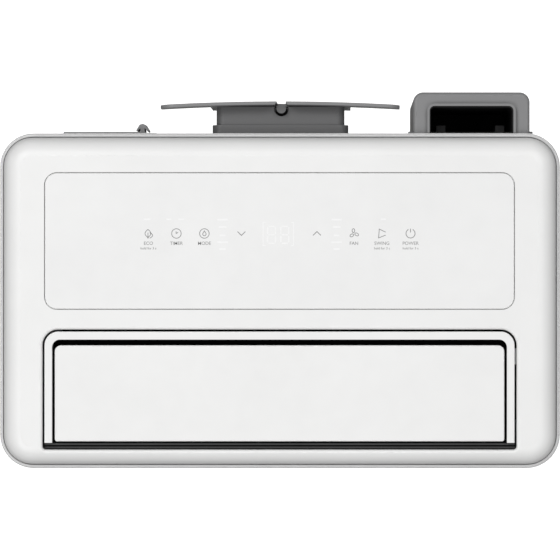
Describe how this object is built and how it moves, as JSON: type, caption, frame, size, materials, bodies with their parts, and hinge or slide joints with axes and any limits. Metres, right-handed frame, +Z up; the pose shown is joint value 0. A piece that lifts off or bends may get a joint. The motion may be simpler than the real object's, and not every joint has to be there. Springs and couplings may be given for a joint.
{
  "type": "dehumidifier",
  "caption": "Floor-standing cabinet on swivel casters that dries room air: top louvre, touch control panel, pull-out water tank, rear intake filter, cord wrap and pocket.",
  "frame": {"origin": "on the floor under the centre of the whole unit's plan", "axes": "+Z up, front towards -Y, +X to the right seen from above with the rear at the top"},
  "size_m": [0.5, 0.336, 0.69],
  "materials": {
    "white_shell": "fine satin moulded white",
    "white_panel": "smooth white touch sheet",
    "trim_grey": "satin pale grey trim",
    "grey_moulding": "fine-grained mid grey",
    "dark_moulding": "fine-grained dark grey",
    "black_moulding": "matte black",
    "flap_white": "satin white",
    "pan_grey": "textured dark grey",
    "sheet_steel": "galvanised sheet",
    "fin_stock": "bare fin stock",
    "copper_pipe": "drawn copper",
    "compressor_black": "semi-gloss black",
    "fan_grey": "moulded fan",
    "foam_tray": "moulded tray",
    "circuit_board": "solder-masked board",
    "capacitor_can": "drawn can",
    "tank_translucent": "smoke translucent",
    "window_clear": "clear window",
    "float_white": "closed-cell float",
    "rubber_black": "matte rubber",
    "wheel_grey": "nylon wheel",
    "caster_black": "satin black pressed steel",
    "steel_pin": "ground steel",
    "screw_steel": "zinc plated",
    "mesh_grey": "woven nylon mesh"
  },
  "bodies": {
    "cabinet": {"front_cover": "white_shell", "rear_cover": "white_shell", "top_panel": "white_shell", "trim_ring": "trim_grey", "control_panel": "white_panel", "display_board": "circuit_board", "outlet_frame": "white_shell", "outlet_sill": "black_moulding", "outlet_duct": "black_moulding", "outlet_guard": "black_moulding", "louver_motor": "sheet_steel", "fan_scroll": "fan_grey", "fan_motor": "sheet_steel", "drip_tray": "foam_tray", "partition_plate": "pan_grey", "compressor": "compressor_black", "compressor_mounts": "rubber_black", "accumulator": "compressor_black", "refrigerant_pipes": "copper_pipe", "electrical_box": "sheet_steel", "power_board": "circuit_board", "run_capacitor": "capacitor_can", "humidity_sensor": "float_white", "cord_spool": "dark_moulding", "cord_flange": "grey_moulding", "cord_hook": "grey_moulding", "rear_pocket": "grey_moulding", "pocket_liner": "black_moulding", "cord_gland": "black_moulding", "drain_spout": "grey_moulding", "housing_screws": "screw_steel", "hand_grips": "grey_moulding", "caster_sockets": "black_moulding", "evaporator_fins": "fin_stock", "evaporator_tubes": "copper_pipe", "condenser_fins": "fin_stock", "condenser_tubes": "copper_pipe", "base_pan": "pan_grey"},
    "louver": {"louver_flap": "flap_white", "louver_pins": "steel_pin"},
    "fan": {"fan_wheel": "black_moulding", "fan_shaft": "steel_pin"},
    "tank": {"water_tank": "tank_translucent", "tank_front": "white_shell", "tank_window": "window_clear", "tank_lid": "grey_moulding", "tank_handle": "grey_moulding"},
    "float": {"tank_float": "float_white"},
    "filter": {"intake_grille": "white_shell", "filter_frame": "grey_moulding", "filter_mesh": "mesh_grey"},
    "drain_plug": {"drain_plug": "rubber_black"},
    "swivel_front_left": {"caster_fork_front_left": "caster_black"},
    "wheel_front_left": {"caster_wheel_front_left": "wheel_grey"},
    "swivel_front_right": {"caster_fork_front_right": "caster_black"},
    "wheel_front_right": {"caster_wheel_front_right": "wheel_grey"},
    "swivel_rear_left": {"caster_fork_rear_left": "caster_black"},
    "wheel_rear_left": {"caster_wheel_rear_left": "wheel_grey"},
    "swivel_rear_right": {"caster_fork_rear_right": "caster_black"},
    "wheel_rear_right": {"caster_wheel_rear_right": "wheel_grey"}
  },
  "joints": [
    {"name": "louver_hinge", "type": "hinge", "parent": "cabinet", "child": "louver", "pos_m": [0, -0.0679, 0.678], "axis": [-1, 0, 0], "range_deg": [0, 70]},
    {"name": "fan_spin", "type": "hinge", "parent": "cabinet", "child": "fan", "pos_m": [0, 0, 0.436], "axis": [0, 1, 0], "continuous": true},
    {"name": "tank_slide", "type": "slide", "parent": "cabinet", "child": "tank", "axis": [0, -1, 0], "range_m": [0, 0.15]},
    {"name": "float_rise", "type": "slide", "parent": "tank", "child": "float", "axis": [0, 0, 1], "range_m": [0, 0.12]},
    {"name": "filter_pull", "type": "slide", "parent": "cabinet", "child": "filter", "axis": [0, 1, 0], "range_m": [0, 0.06]},
    {"name": "plug_pull", "type": "slide", "parent": "cabinet", "child": "drain_plug", "axis": [0, 1, 0], "range_m": [0, 0.03]},
    {"name": "swivel_front_left", "type": "hinge", "parent": "cabinet", "child": "swivel_front_left", "pos_m": [-0.205, -0.123, 0.06], "axis": [0, 0, 1], "continuous": true},
    {"name": "roll_front_left", "type": "hinge", "parent": "swivel_front_left", "child": "wheel_front_left", "pos_m": [-0.205, -0.137, 0.02], "axis": [1, 0, 0], "continuous": true},
    {"name": "swivel_front_right", "type": "hinge", "parent": "cabinet", "child": "swivel_front_right", "pos_m": [0.205, -0.123, 0.06], "axis": [0, 0, 1], "continuous": true},
    {"name": "roll_front_right", "type": "hinge", "parent": "swivel_front_right", "child": "wheel_front_right", "pos_m": [0.205, -0.137, 0.02], "axis": [1, 0, 0], "continuous": true},
    {"name": "swivel_rear_left", "type": "hinge", "parent": "cabinet", "child": "swivel_rear_left", "pos_m": [-0.205, 0.086, 0.06], "axis": [0, 0, 1], "continuous": true},
    {"name": "roll_rear_left", "type": "hinge", "parent": "swivel_rear_left", "child": "wheel_rear_left", "pos_m": [-0.205, 0.072, 0.02], "axis": [1, 0, 0], "continuous": true},
    {"name": "swivel_rear_right", "type": "hinge", "parent": "cabinet", "child": "swivel_rear_right", "pos_m": [0.205, 0.086, 0.06], "axis": [0, 0, 1], "continuous": true},
    {"name": "roll_rear_right", "type": "hinge", "parent": "swivel_rear_right", "child": "wheel_rear_right", "pos_m": [0.205, 0.072, 0.02], "axis": [1, 0, 0], "continuous": true}
  ]
}
